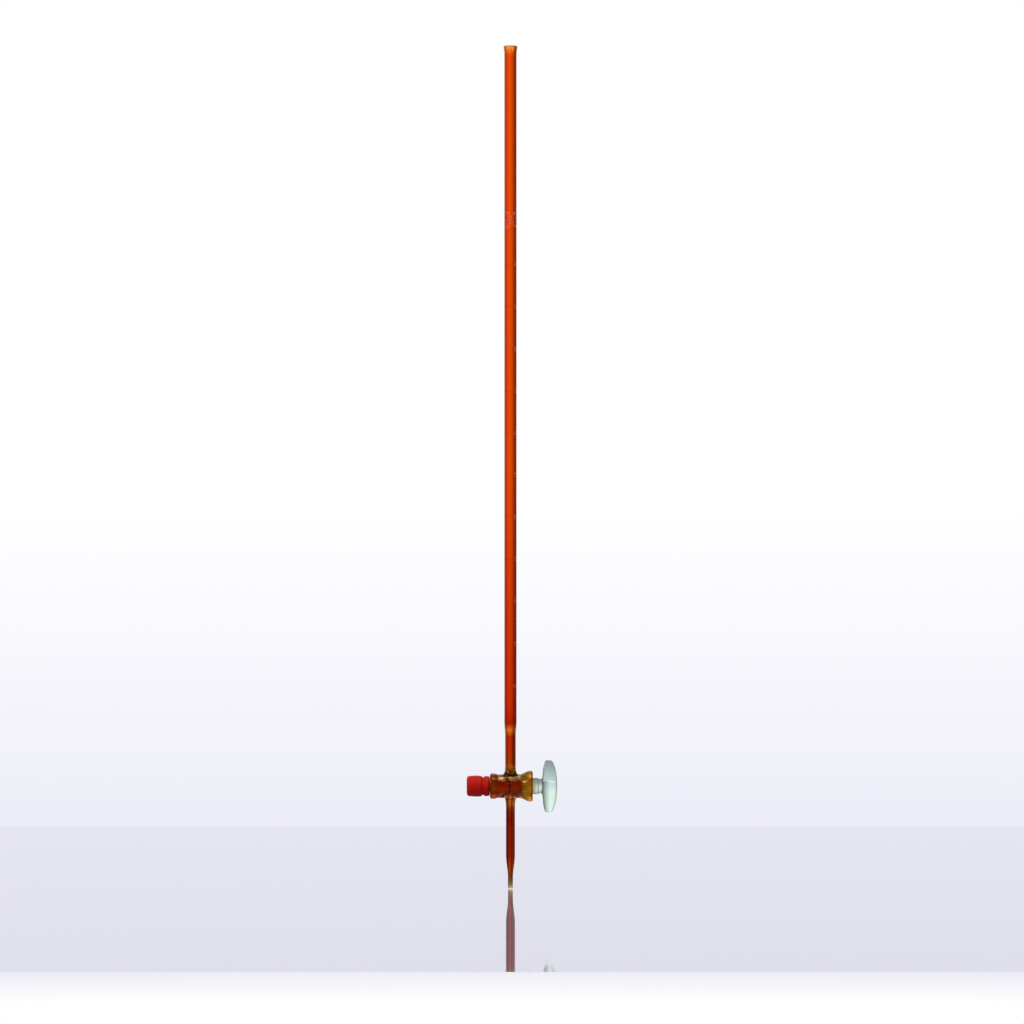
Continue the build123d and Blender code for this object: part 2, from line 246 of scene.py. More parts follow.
def waviness_group():
    """Slow ripples of drawn or moulded surfaces, as a normal."""
    group, inputs, outputs = new_group(
        "surface_waviness",
        [("Scale", 90.0), ("Strength", 0.05), ("Height", 0.0004)],
        [("Normal", "NodeSocketVector")]
    )
    coordinates, _ = object_axes(group)
    bump = group.nodes.new("ShaderNodeBump")
    group.links.new(noise(group, coordinates, inputs.outputs["Scale"]), bump.inputs["Height"])
    group.links.new(inputs.outputs["Strength"], bump.inputs["Strength"])
    group.links.new(inputs.outputs["Height"], bump.inputs["Distance"])
    group.links.new(bump.outputs["Normal"], outputs.inputs["Normal"])
    return group


def ground_zone_group():
    """Where glass is ground matt: within a radius of the stopcock's axis, from one X to another."""
    group, inputs, outputs = new_group(
        "ground_zone", [("From X", 0.0), ("To X", 0.0), ("Radius", 0.0)], [("Mask", "NodeSocketFloat")]
    )
    coordinates, axes = object_axes(group)
    above = math_node(group, "SUBTRACT", axes["Z"], STOPCOCK_Z)
    square = math_node(group, "MULTIPLY", above, above)
    depth = math_node(group, "MULTIPLY", axes["Y"], axes["Y"])
    distance = math_node(group, "SQRT", math_node(group, "ADD", square, depth))
    soft = 0.25 * MM
    inside = ease(group, math_node(group, "SUBTRACT", distance, inputs.outputs["Radius"]), soft, -soft)
    right_of = ease(group, math_node(group, "SUBTRACT", axes["X"], inputs.outputs["From X"]), -soft, soft)
    left_of = ease(group, math_node(group, "SUBTRACT", axes["X"], inputs.outputs["To X"]), soft, -soft)
    along = math_node(group, "MULTIPLY", right_of, left_of)
    mask = math_node(group, "MULTIPLY", inside, along)
    grain = noise(group, coordinates, 3500.0, 3.0)
    grainy = math_node(
        group, "MULTIPLY", mask,
        math_node(group, "ADD", math_node(group, "MULTIPLY", grain, 0.4), 0.8)
    )
    group.links.new(grainy, outputs.inputs["Mask"])
    return group


def handling_group():
    """Faint finger marks and dust, as a mask."""
    group, inputs, outputs = new_group(
        "handling_marks", [("Scale", 160.0), ("Amount", 0.5)], [("Mask", "NodeSocketFloat")]
    )
    coordinates, _ = object_axes(group)
    patches = ease(group, noise(group, coordinates, inputs.outputs["Scale"], 5.0, 0.6), 0.52, 0.72)
    specks = ease(group, noise(group, coordinates, 2600.0, 1.0), 0.66, 0.74)
    both = math_node(group, "MAXIMUM", patches, specks)
    group.links.new(math_node(group, "MULTIPLY", both, inputs.outputs["Amount"]), outputs.inputs["Mask"])
    return group


def place_group(tree, make_group, name, **values):
    """A shared group's node, with its own values. The group is built the first time."""
    node = tree.nodes.new("ShaderNodeGroup")
    node.node_tree = bpy.data.node_groups.get(name) or make_group()
    for label, value in values.items():
        node.inputs[label.replace("_", " ")].default_value = value
    return node.outputs[0]


def new_material(name):
    material = bpy.data.materials.new(name)
    material.use_nodes = True
    return material, material.node_tree, material.node_tree.nodes["Principled BSDF"]


def ramp(tree, factor, stops):
    """A colour ramp through (position, colour) stops."""
    node = tree.nodes.new("ShaderNodeValToRGB")
    elements = node.color_ramp.elements
    while len(elements) < len(stops):
        elements.new(0.5)
    for element, (position, colour) in zip(elements, stops):
        element.position = position
        element.color = (*colour, 1)
    tree.links.new(factor, node.inputs["Fac"])
    return node.outputs["Color"]


def mix_colours(tree, factor, first, second):
    node = tree.nodes.new("ShaderNodeMix")
    node.data_type = "RGBA"
    for socket, value in (
        (node.inputs["Factor"], factor), (node.inputs["A"], first), (node.inputs["B"], second)
    ):
        if isinstance(value, bpy.types.NodeSocket):
            tree.links.new(value, socket)
        else:
            socket.default_value = (*value, 1) if isinstance(value, tuple) else value
    return node.outputs["Result"]


# ------------------------------------------------------------------ materials
def amber_glass(settings):
    """Amber-stained glass, tinted by height and along the barrel, paler and yellower towards the rim and the jet's
    tip; the tints also hold a painted highlight on the barrel and painted shade where the inlet and the jet meet
    it.
    """
    material, tree, shader = new_material("amber_glass")
    coordinates, axes = object_axes(tree)
    tube = tuple(settings.stain)
    inlet = (0.56, 0.030, 0.0016)
    jet = (0.38, 0.015, 0.001)
    # Tints by height in millimetres: the stain of tube, inlet and jet, paler and yellower towards the rim and the
    # jet's tip, near-black painted shade where the inlet and the jet meet the barrel, and lighter bands at their
    # flared feet and at the shoulder.
    heights = [
        (0.0, (0.95, 0.84, 0.6)),
        (1.2, (0.85, 0.62, 0.32)),
        (2.6, (0.44, 0.19, 0.04)),
        (9.0, (0.27, 0.055, 0.006)),
        (15.0, (0.42, 0.055, 0.003)),
        (22.0, jet),
        (50.0, jet),
        (56.0, (0.36, 0.04, 0.003)),
        (60.5, (0.62, 0.16, 0.008)),
        (63.0, (0.55, 0.13, 0.006)),
        (64.5, (0.2, 0.03, 0.002)),
        (81.6, (0.03, 0.003, 0.001)),
        (82.4, (0.5, 0.14, 0.01)),
        (83.4, (0.8, 0.25, 0.015)),
        (85.2, (0.75, 0.2, 0.01)),
        (88.0, (0.42, 0.06, 0.003)),
        (96.0, inlet),
        (108.8, inlet),
        (112.4, (0.98, 0.22, 0.012)),
        (116.4, (0.52, 0.013, 0.0015)),
        (130.0, (0.66, 0.028, 0.0015)),
        (200.0, (0.72, 0.043, 0.0015)),
        (300.0, tuple(0.93 * part for part in tube)),
        (594.2, tube),
        (597.2, (0.95, 0.2, 0.012)),
        (598.6, (1.0, 0.32, 0.05)),
        (600.0, (1.0, 0.4, 0.1)),
    ]
    share = math_node(tree, "DIVIDE", axes["Z"], RIM_TOP)
    height_tint = ramp(tree, share, [(z * MM / RIM_TOP, colour) for z, colour in heights])
    length = BARREL_HIGH.x - BARREL_LOW.x
    along = math_node(tree, "DIVIDE", math_node(tree, "SUBTRACT", axes["X"], BARREL_LOW.x), length)
    barrel, flange = tuple(settings.barrel_stain), tuple(settings.flange_stain)
    small_rim, big_rim = (0.4, 0.055, 0.003), (0.14, 0.03, 0.003)
    lengths = [
        (0.0, small_rim), (0.1, small_rim), (0.17, barrel), (0.72, barrel),
        (0.79, flange), (0.93, flange), (0.97, big_rim),
    ]
    barrel_tint = ramp(tree, along, lengths)
    above_axis = math_node(tree, "SUBTRACT", axes["Z"], STOPCOCK_Z)
    off_centre = math_node(tree, "ABSOLUTE", axes["X"])
    # Painted highlight: pale straw over the top of the barrel's waist and along its bottom edge, near the middle.
    painted_highlight = math_node(
        tree, "MULTIPLY",
        math_node(
            tree, "ADD",
            ease(tree, above_axis, 3.8 * MM, 5.4 * MM),
            ease(tree, above_axis, -6.9 * MM, -7.9 * MM)
        ),
        ease(tree, off_centre, 9.6 * MM, 7.4 * MM),
    )
    barrel_tint = mix_colours(tree, painted_highlight, barrel_tint, (0.8, 0.56, 0.2))
    # Painted shade: a near-black line on the barrel just under the inlet's foot.
    painted_foot_shade = math_node(
        tree, "MULTIPLY",
        ease(tree, above_axis, settings.waist_radius - 1.5 * MM, settings.waist_radius - 1.2 * MM),
        ease(tree, off_centre, 5.6 * MM, 5.0 * MM),
    )
    barrel_tint = mix_colours(tree, painted_foot_shade, barrel_tint, (0.02, 0.002, 0.001))
    from_axis = math_node(tree, "ABSOLUTE", above_axis)
    near_axis = ease(tree, from_axis, settings.waist_radius + 0.1 * MM, settings.waist_radius - 0.5 * MM)
    on_barrel = math_node(tree, "MAXIMUM", near_axis, ease(tree, off_centre, 5.2 * MM, 6.2 * MM))
    # The barrel's tints, with their painted highlight and painted shade, laid over the tints by height.
    stain = mix_colours(tree, on_barrel, height_tint, barrel_tint)
    side = tree.nodes.new("ShaderNodeAttribute")
    side.attribute_name = STAINED_SIDE
    tint = mix_colours(tree, side.outputs["Fac"], (0.99, 0.96, 0.88), stain)
    streaks = tree.nodes.new("ShaderNodeMapping")
    streaks.inputs["Scale"].default_value = (900, 900, 14)
    tree.links.new(coordinates, streaks.inputs["Vector"])
    mottle = ease(tree, noise(tree, streaks.outputs["Vector"], 1.0, 3.0), 0.3, 0.8)
    deeper = tree.nodes.new("ShaderNodeGamma")
    tree.links.new(tint, deeper.inputs["Color"])
    tree.links.new(
        math_node(tree, "ADD", math_node(tree, "MULTIPLY", mottle, 0.08), 0.97), deeper.inputs["Gamma"]
    )
    tree.links.new(deeper.outputs["Color"], shader.inputs["Base Color"])
    ground = place_group(
        tree, ground_zone_group, "ground_zone",
        From_X=BARREL_LOW.x, To_X=BARREL_HIGH.x - 0.2 * MM, Radius=6.1 * MM,
    )
    marks = place_group(tree, handling_group, "handling_marks", Amount=0.03)
    rough = math_node(
        tree, "ADD", math_node(tree, "MULTIPLY", ground, 0.28), math_node(tree, "ADD", marks, 0.01)
    )
    tree.links.new(rough, shader.inputs["Roughness"])
    wavy = place_group(tree, waviness_group, "surface_waviness", Scale=70.0, Strength=0.06)
    tree.links.new(wavy, shader.inputs["Normal"])
    shader.inputs["IOR"].default_value = 1.47
    shader.inputs["Specular Tint"].default_value = (1.0, 0.42, 0.18, 1)
    shader.inputs["Transmission Weight"].default_value = 1.0
    return material


def clear_glass(settings):
    """Pressed glass with a faint green cast; its plug is ground matt."""
    material, tree, shader = new_material("clear_glass")
    _, axes = object_axes(tree)
    tint = tuple(settings.tint)
    # Painted amber cast: olive straw on the plug where it sits in and beside the amber barrel, standing in for
    # light through the amber glass.
    painted_amber_cast = math_node(
        tree, "MULTIPLY",
        ease(tree, axes["X"], 18.8 * MM, 17.8 * MM),
        ease(tree, axes["X"], BARREL_LOW.x, BARREL_LOW.x + 1.0 * MM),
    )
    tint = mix_colours(tree, painted_amber_cast, tint, (0.66, 0.64, 0.36))
    edge_on = tree.nodes.new("ShaderNodeLayerWeight").outputs["Facing"]
    deep = ease(tree, edge_on, 0.25, 0.9)
    tree.links.new(mix_colours(tree, deep, tint, (0.48, 0.6, 0.54)), shader.inputs["Base Color"])
    ground = place_group(
        tree, ground_zone_group, "ground_zone",
        From_X=-16.2 * MM, To_X=22.6 * MM, Radius=6.4 * MM,
    )
    marks = place_group(tree, handling_group, "handling_marks", Amount=0.04)
    rough = math_node(
        tree, "ADD", math_node(tree, "MULTIPLY", ground, 0.32), math_node(tree, "ADD", marks, 0.02)
    )
    tree.links.new(rough, shader.inputs["Roughness"])
    wavy = place_group(tree, waviness_group, "surface_waviness", Scale=110.0, Strength=0.12)
    tree.links.new(wavy, shader.inputs["Normal"])
    shader.inputs["IOR"].default_value = 1.5
    shader.inputs["Transmission Weight"].default_value = 1.0
    return material


def red_rubber(settings):
    """Moulded red rubber with a dull bloom and fine mottling."""
    material, tree, shader = new_material("red_rubber")
    coordinates, _ = object_axes(tree)
    colour = tuple(settings.rubber)
    mottle = ease(tree, noise(tree, coordinates, 420.0, 4.0, 0.6), 0.35, 0.7)
    dark = tuple(0.8 * part for part in colour)
    base = mix_colours(tree, mottle, dark, colour)
    bloom = place_group(tree, handling_group, "handling_marks", Scale=240.0, Amount=0.05)
    tree.links.new(mix_colours(tree, bloom, base, (0.5, 0.12, 0.09)), shader.inputs["Base Color"])
    tree.links.new(
        math_node(tree, "ADD", math_node(tree, "MULTIPLY", bloom, 0.6), 0.42), shader.inputs["Roughness"]
    )
    wavy = place_group(tree, waviness_group, "surface_waviness", Scale=900.0, Strength=0.25, Height=0.0001)
    tree.links.new(wavy, shader.inputs["Normal"])
    shader.inputs["Specular IOR Level"].default_value = 0.12
    return material


def fired_deposit(name, colour, see_through, roughness):
    """A thin fired-on deposit, partly see-through and worn a little thin in places."""
    material, tree, shader = new_material(name)
    coordinates, _ = object_axes(tree)
    worn = ease(tree, noise(tree, coordinates, 1500.0, 4.0, 0.6), 0.45, 0.75)
    thin = tuple(0.5 + 0.5 * part for part in colour)
    tree.links.new(
        mix_colours(tree, math_node(tree, "MULTIPLY", worn, 0.5), colour, thin), shader.inputs["Base Color"]
    )
    rough = math_node(tree, "ADD", math_node(tree, "MULTIPLY", worn, 0.1), roughness)
    tree.links.new(rough, shader.inputs["Roughness"])
    shader.inputs["IOR"].default_value = 1.47
    shader.inputs["Transmission Weight"].default_value = see_through
    return material


# ------------------------------------------------------------------ mesh work
def finish_piece(name, bm, material, body, replaced, smooth_levels=SMOOTH_LEVELS):
    """Turn a bmesh into a smoothed piece, with the smoothing in its mesh, that rides on its body."""
    bmesh.ops.recalc_face_normals(bm, faces=bm.faces)
    mesh = bpy.data.meshes.new(name + "_cage")
    bm.to_mesh(mesh)
    bm.free()
    piece = bpy.data.objects.new(name, mesh)
    bpy.context.scene.collection.objects.link(piece)
    smoothing = piece.modifiers.new("Smoothing", "SUBSURF")
    smoothing.levels = smoothing.render_levels = smooth_levels
    graph = bpy.context.evaluated_depsgraph_get()
    smooth = bpy.data.meshes.new_from_object(
        piece.evaluated_get(graph), preserve_all_data_layers=True, depsgraph=graph
    )
    piece.modifiers.clear()
    piece.data = smooth
    bpy.data.meshes.remove(mesh)
    smooth.name = name
    smooth.shade_smooth()
    smooth.materials.clear()
    smooth.materials.append(material)
    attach(piece, body)
    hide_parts(*replaced)
    return piece


def stain_side_layer(bm):
    """The vertex value that says where the stain is: 1 outside, 0 in the bore and the socket."""
    return bm.verts.layers.float.get(STAINED_SIDE) or bm.verts.layers.float.new(STAINED_SIDE)


def spin_profile(bm, points, closed=False):
    """Spin (x, radius) control points once about the stopcock's axis. Lengths in millimetres."""
    line = [bm.verts.new((x * MM, 0, STOPCOCK_Z + radius * MM / ROUND)) for x, radius in points]
    pairs = list(zip(line, line[1:])) + ([(line[-1], line[0])] if closed else [])
    edges = [bm.edges.new(pair) for pair in pairs]
    bmesh.ops.spin(
        bm, geom=line + edges, cent=(0, 0, STOPCOCK_Z), axis=(1, 0, 0), dvec=(0, 0, 0),
        angle=math.tau, steps=SIDES, use_merge=True,
    )
    bmesh.ops.remove_doubles(bm, verts=bm.verts, dist=0.001 * MM)


def ring_edges(ring):
    """The open edges between the vertices of one ring."""
    members = set(ring)
    return list({
        edge for vert in ring for edge in vert.link_edges
        if edge.is_boundary and set(edge.verts) <= members
    })


def cut_port(bm, side, reach, mouth, low, high):
    """Take four by four faces out of a spun wall, above or below its axis, and round the hole.

    side is 1 above and -1 below; reach is the block's half width along X, mouth the hole's
    radius, and low and high bound the wall's radius. All lengths are in millimetres.
    """
    block, inner = [], []
    for vert in bm.verts:
        up = side * (vert.co.z - STOPCOCK_Z)
        radius = math.hypot(vert.co.y, up) / MM
        turn = math.atan2(vert.co.y, up) / (2 * STEP)
        shift = vert.co.x / (reach * MM)
        if low < radius * ROUND < high and abs(turn) < 1.01 and abs(shift) < 1.01:
            within = inner if abs(turn) < 0.51 and abs(shift) < 0.51 else block
            within.append((vert, shift, turn, radius * MM))
    bmesh.ops.delete(bm, geom=[vert for vert, *_ in inner], context="VERTS")
    for vert, shift, turn, radius in block:
        azimuth = round(math.atan2(turn, shift) / STEP) * STEP
        x, y = mouth * MM * math.cos(azimuth), mouth * MM * math.sin(azimuth)
        vert.co = (x, y, STOPCOCK_Z + side * math.sqrt(radius**2 - y**2))
    return [vert for vert, *_ in block]


def grow_rings(bm, ring, levels, stained=0.0):
    """Extrude a ring about the tube's axis through (radius, z) levels in millimetres."""
    side = stain_side_layer(bm)
    for radius, z in levels:
        made = bmesh.ops.extrude_edge_only(bm, edges=ring_edges(ring))["geom"]
        ring = [item for item in made if isinstance(item, bmesh.types.BMVert)]
        for vert in ring:
            azimuth = round(math.atan2(vert.co.y, vert.co.x) / STEP) * STEP
            reach = radius * MM / ROUND
            vert.co = (reach * math.cos(azimuth), reach * math.sin(azimuth), z * MM)
            vert[side] = stained
    return ring


def join_rings(bm, first, second):
    bmesh.ops.bridge_loops(bm, edges=ring_edges(first) + ring_edges(second))


def sharpen(bm, ring, amount):
    """Keep the line where two pieces of glass are sealed from being rounded away."""
    layer = bm.edges.layers.float.get("crease_edge")
    for edge in ring_edges(ring):
        edge[layer] = amount


def crease_circle(bm, x, radius):
    """Keep the edge of a ground face sharp: the circle at one X and radius, in millimetres."""
    layer = bm.edges.layers.float.get("crease_edge") or bm.edges.layers.float.new("crease_edge")
    for edge in bm.edges:
        ends = [
            (vert.co.x / MM, math.hypot(vert.co.y, vert.co.z - STOPCOCK_Z) * ROUND / MM)
            for vert in edge.verts
        ]
        if all(abs(end_x - x) < 0.01 and abs(end_r - radius) < 0.02 for end_x, end_r in ends):
            edge[layer] = 1.0


def socket_radius(x):
    """Radius of the ground socket at x, both in millimetres: a 1 in 10 taper."""
    return 6.03 - 0.05 * (19.2 - x)


def barrel_loop(settings):
    """The barrel's section, from the socket's big end over the outside and back, in millimetres."""
    waist = settings.waist_radius / MM
    big, small = BARREL_HIGH.x / MM, BARREL_LOW.x / MM
    flange = (BARREL_HIGH.z - STOPCOCK_Z) / MM - 0.03
    outside = [
        (big, socket_radius(big)), (big, 8.0), (big, flange - 1.6), (big - 0.3, flange - 0.35),
        (big - 1.2, flange + 0.02), (13.8, flange + 0.02), (12.5, flange - 0.18), (11.1, flange - 0.75),
        (9.6, flange - 1.6), (8.0, waist + 0.42), (6.6, waist + 0.08), (5.6, waist), (2.8, waist), (0, waist),
        (-2.8, waist), (-5.6, waist), (-8.0, waist), (-9.6, waist + 0.05), (-10.4, waist + 0.5),
        (-11.4, waist + 0.78), (-13.2, waist + 0.78), (small + 0.3, waist + 0.45), (small, waist - 0.7),
        (small, 6.0), (small, socket_radius(small)),
    ]
    taper = [-13.9, -9.0, -4.5, -1.9, -0.95, 0, 0.95, 1.9, 4.5, 9.0, 15.2]
    return outside + [(x, socket_radius(x)) for x in taper]


def tube_levels(settings):
    """Control rings from the barrel's crown up the outside, over the rim and down the bore."""
    inlet, inlet_bore = settings.inlet_radius / MM, settings.inlet_bore / MM
    crown = STOPCOCK_Z / MM + settings.waist_radius / MM
    tube, bore, port = TUBE_R / MM, BORE_R / MM, settings.port_radius / MM
    low, top, rim = SHOULDER_Z / MM, RIM_TOP / MM, RIM_R / MM
    outside = [
        (4.9, crown + 0.5), (4.4, crown + 1.3), (3.95, crown + 2.5),
        (inlet, crown + 4.6), (inlet, crown + 7.0),
        (inlet, crown + 10.0), (inlet, low - 4.5), (inlet, low - 0.5), (inlet + 0.12, low + 2.5),
        (tube - 0.13, low + 6.2),
        (tube, low + 9.3), (tube, low + 13.0), (tube, low + 18.0), (tube, top - 12.0), (tube, top - 8.5),
        (tube + 0.03, top - 5.0), (tube + 0.2, top - 3.0), (rim - 0.1, top - 1.5), (rim + 0.03, top - 0.6),
        (rim - 0.45, top + 0.02),
    ]
    inside = [
        (rim - 0.95, top - 0.5), (rim - 1.2, top - 1.6), (bore + 0.15, top - 3.2), (bore, top - 5.2),
        (bore, top - 8.5), (bore, top - 12.0), (bore, low + 18.0), (bore, low + 13.0), (bore, low + 9.6),
        (bore - 0.2, low + 6.6), (inlet_bore + 0.15, low + 2.6),
        (inlet_bore, low - 0.5), (inlet_bore, low - 4.5),
        (inlet_bore, crown + 10.0), (inlet_bore, crown + 6.6), (inlet_bore - 0.2, crown + 4.6),
        (port + 0.3, crown + 2.4),
        (port, crown + 0.8), (port, crown - 0.6), (port, crown - 2.0),
    ]
    return outside, inside


def jet_levels(settings):
    """Control rings from the barrel's keel down the outside, over the tip and up the bore."""
    keel = (STOPCOCK_Z - settings.waist_radius) / MM
    jet, port = JET_R / MM, settings.port_radius / MM
    outside = [
        (3.95, keel - 0.45), (3.65, keel - 1.6), (3.36, keel - 3.2), (jet, keel - 5.6), (jet, keel - 8.0),
        (jet, keel - 12.0), (jet, 29.0), (jet, 25.5), (jet, 22.6), (2.9, 18.6), (2.2, 13.4),
        (1.83, 9.8), (1.76, 6.8),
        (1.72, 3.4), (1.69, 1.2), (1.66, 0.25),
    ]
    inside = [
        (1.45, 0.0), (0.75, 0.0), (0.45, 0.15), (0.45, 1.4), (0.45, 3.2), (0.6, 6.0), (0.95, 10.0),
        (1.0, 13.5), (1.0, 18.0),
        (1.0, keel - 8.0), (1.0, keel - 5.0), (1.05, keel - 3.0), (port, keel - 1.0), (port, keel + 0.6),
        (port, keel + 2.0),
    ]
    return outside, inside


def build_glass_body(settings):
    bm = bmesh.new()
    side = stain_side_layer(bm)
    spin_profile(bm, barrel_loop(settings), closed=True)
    for vert in bm.verts:
        vert[side] = math.hypot(vert.co.y, vert.co.z - STOPCOCK_Z) > 7.0 * MM
    for x in (BARREL_HIGH.x / MM, BARREL_LOW.x / MM):
        crease_circle(bm, x, socket_radius(x))
    for place, foot, (outside, inside) in ((1, 5.2, tube_levels(settings)), (-1, 4.1, jet_levels(settings))):
        outer = cut_port(bm, place, 5.6, foot, 7.0, 9.0)
        sharpen(bm, outer, 0.8 if place > 0 else 0.5)
        inner = cut_port(bm, place, 1.9, 1.7, 4.0, 6.6)
        skin = grow_rings(bm, outer, outside, 1.0)
        join_rings(bm, grow_rings(bm, skin, inside), inner)
    return bm


# ------------------------------------------------------------------ the key
def key_chain(settings):
    """The key's section from the pole of its tail to the neck, in millimetres."""
    tail, neck = settings.tail_radius / MM, settings.neck_radius / MM
    end = KEY_LOW.x / MM
    tail_part = [
        (end, 0), (end, 1.6), (end, tail - 0.7), (end + 0.25, tail - 0.1),
        (end + 1.4, tail), (end + 3.5, tail),
        (-21.9, tail), (-21.1, tail - 0.12), (-20.5, tail - 0.48), (-19.9, tail - 0.12), (-19.1, tail),
        (-17.4, tail), (-16.25, tail), (-16.0, tail + 0.02),
    ]
    plug_x = [-16.0, -15.6, -13.5, -8.0, -3.5, -1.6, -0.8, 0, 0.8, 1.6, 3.5, 8.0, 14.0, 17.6, 18.8]
    plug = [(x, socket_radius(x) - PLUG_CLEARANCE) for x in plug_x]
    neck_part = [(19.4, 5.85), (19.75, 5.3), (20.2, neck + 0.02), (21.0, neck - 0.05), (21.8, neck)]
    return tail_part + plug + neck_part


def handle_point(up, across, far):
    """A point of the handle's skin, in millimetres, for grid places up and across from -1 to 1."""
    half_height = (KEY_HIGH.z - STOPCOCK_Z) / MM
    half_depth = KEY_HIGH.y / MM
    near_x, far_x = 22.5, KEY_HIGH.x / MM
    middle_x = (near_x + far_x) / 2
    depth = half_depth * math.sqrt(1 - (up / 1.12) ** 2)
    x = far_x - 2.9 * up**2 - 1.3 * up**8 if far else near_x + 1.3 * up**2 + 1.3 * up**8
    x += (middle_x - x) * 0.1 * abs(across) ** 3
    return x * MM, across * depth * 1.03 * MM, STOPCOCK_Z + up * half_height * 1.012 * MM


def build_handle(bm):
    """A lens-shaped bar from a grid; returns the ring of the hole that the neck joins."""
    ups = [-1.0, -0.94, -0.8, -0.62, -0.45, -0.3, -0.15, 0, 0.15, 0.3, 0.45, 0.62, 0.8, 0.94, 1.0]
    acrosses = [-1.0, -0.72, -0.36, 0, 0.36, 0.72, 1.0]
    made = bmesh.ops.create_grid(bm, x_segments=len(acrosses) - 1, y_segments=len(ups) - 1, size=1)["verts"]
    columns = sorted({round(vert.co.x, 4) for vert in made})
    rows = sorted({round(vert.co.y, 4) for vert in made})
    place = {vert: (columns.index(round(vert.co.x, 4)), rows.index(round(vert.co.y, 4))) for vert in made}
    faces = list({face for vert in made for face in vert.link_faces})
    copied = bmesh.ops.extrude_face_region(bm, geom=faces)["geom"]
    far_side = [item for item in copied if isinstance(item, bmesh.types.BMVert)]
    for vert in far_side:
        key = (columns.index(round(vert.co.x, 4)), rows.index(round(vert.co.y, 4)))
        vert.co = handle_point(ups[key[1]], acrosses[key[0]], True)
    ring, middle = [], []
    for vert, (column, row) in place.items():
        vert.co = handle_point(ups[row], acrosses[column], False)
        off_column, off_row = abs(column - 3), abs(row - 7)
        if off_column <= 2 and off_row <= 2:
            (middle if off_column < 2 and off_row < 2 else ring).append(vert)
    bmesh.ops.delete(bm, geom=middle, context="VERTS")
    return ring


def build_key(settings):
    bm = bmesh.new()
    stain_side_layer(bm)
    spin_profile(bm, key_chain(settings))
    step_x = -16.0
    crease_circle(bm, step_x, socket_radius(step_x) - PLUG_CLEARANCE)
    crease_circle(bm, step_x, settings.tail_radius / MM + 0.02)
    bore = settings.bore_radius / MM
    axis = STOPCOCK_Z / MM
    top = cut_port(bm, 1, 1.6, 1.35, 4.2, 6.2)
    bottom = cut_port(bm, -1, 1.6, 1.35, 4.2, 6.2)
    levels = [(bore, axis + step) for step in (4.7, 4.0, 2.5, -2.5, -4.0, -4.7)]
    join_rings(bm, grow_rings(bm, top, levels), bottom)
    neck = [vert for vert in bm.verts if vert.is_boundary]
    hole = build_handle(bm)
    join_rings(bm, neck, hole)
    return bm


# ------------------------------------------------------------------ the cap
def cap_chain():
    """The cap's section from the pole of its closed end, over the outside and back to the bore's pole."""
    end, mouth = CAP_LOW.x / MM, CAP_HIGH.x / MM
    bulge = (CAP_HIGH.z - STOPCOCK_Z) / MM
    outside = [
        (end, 0), (end, 2.5), (end, 4.6), (end + 0.2, 6.3), (end + 1.0, 7.15),
        (end + 2.6, 7.3), (end + 4.6, 7.4),
        (-25.3, bulge - 0.03), (-23.9, bulge), (-22.6, bulge - 0.05),
        (-21.4, 7.4), (-20.6, 7.15), (-20.1, 6.45),
        (-19.6, 6.2), (-19.1, 6.45), (-18.65, 7.0), (-18.1, 7.16), (-17.2, 7.15), (mouth - 1.4, 7.15),
        (mouth - 0.3, 6.95), (mouth, 6.1), (mouth, 5.2), (mouth, 4.6),
    ]
    inside = [
        (mouth - 0.5, 4.5), (mouth - 1.2, 4.45), (mouth - 1.5, 4.2), (mouth - 1.6, 3.8), (mouth - 2.3, 3.75),
        (-22.0, 3.75), (-26.6, 3.75), (-27.3, 3.7), (-27.6, 3.2), (-27.6, 1.5), (-27.6, 0),
    ]
    return outside + inside


def build_cap():
    bm = bmesh.new()
    spin_profile(bm, cap_chain())
    return bm


# ------------------------------------------------------------------ stage
def build_floor(settings):
    """A pale, glossy strip of floor under the jet."""
    bm = bmesh.new()
    bmesh.ops.create_grid(bm, x_segments=1, y_segments=1, size=1.0)
    for vert in bm.verts:
        vert.co.y = settings.floor_back if vert.co.y > 0 else settings.floor_front
        vert.co.z = -0.5 * MM
    mesh = bpy.data.meshes.new("floor")
    bm.to_mesh(mesh)
    bm.free()
    material, _, shader = new_material("pale_floor")
    shader.inputs["Base Color"].default_value = (*settings.floor, 1)
    shader.inputs["Roughness"].default_value = 0.03
    shader.inputs["IOR"].default_value = 1.5
    shader.inputs["Coat Weight"].default_value = 0.6
    shader.inputs["Coat Roughness"].default_value = 0.05
    mesh.materials.append(material)
    floor = bpy.data.objects.new("floor", mesh)
    bpy.context.scene.collection.objects.link(floor)


def mix_values(tree, factor, first, second):
    node = tree.nodes.new("ShaderNodeMix")
    for socket, value in (
        (node.inputs["Factor"], factor), (node.inputs["A"], first), (node.inputs["B"], second)
    ):
        if isinstance(value, bpy.types.NodeSocket):
            tree.links.new(value, socket)
        else:
            socket.default_value = value
    return node.outputs["Result"]


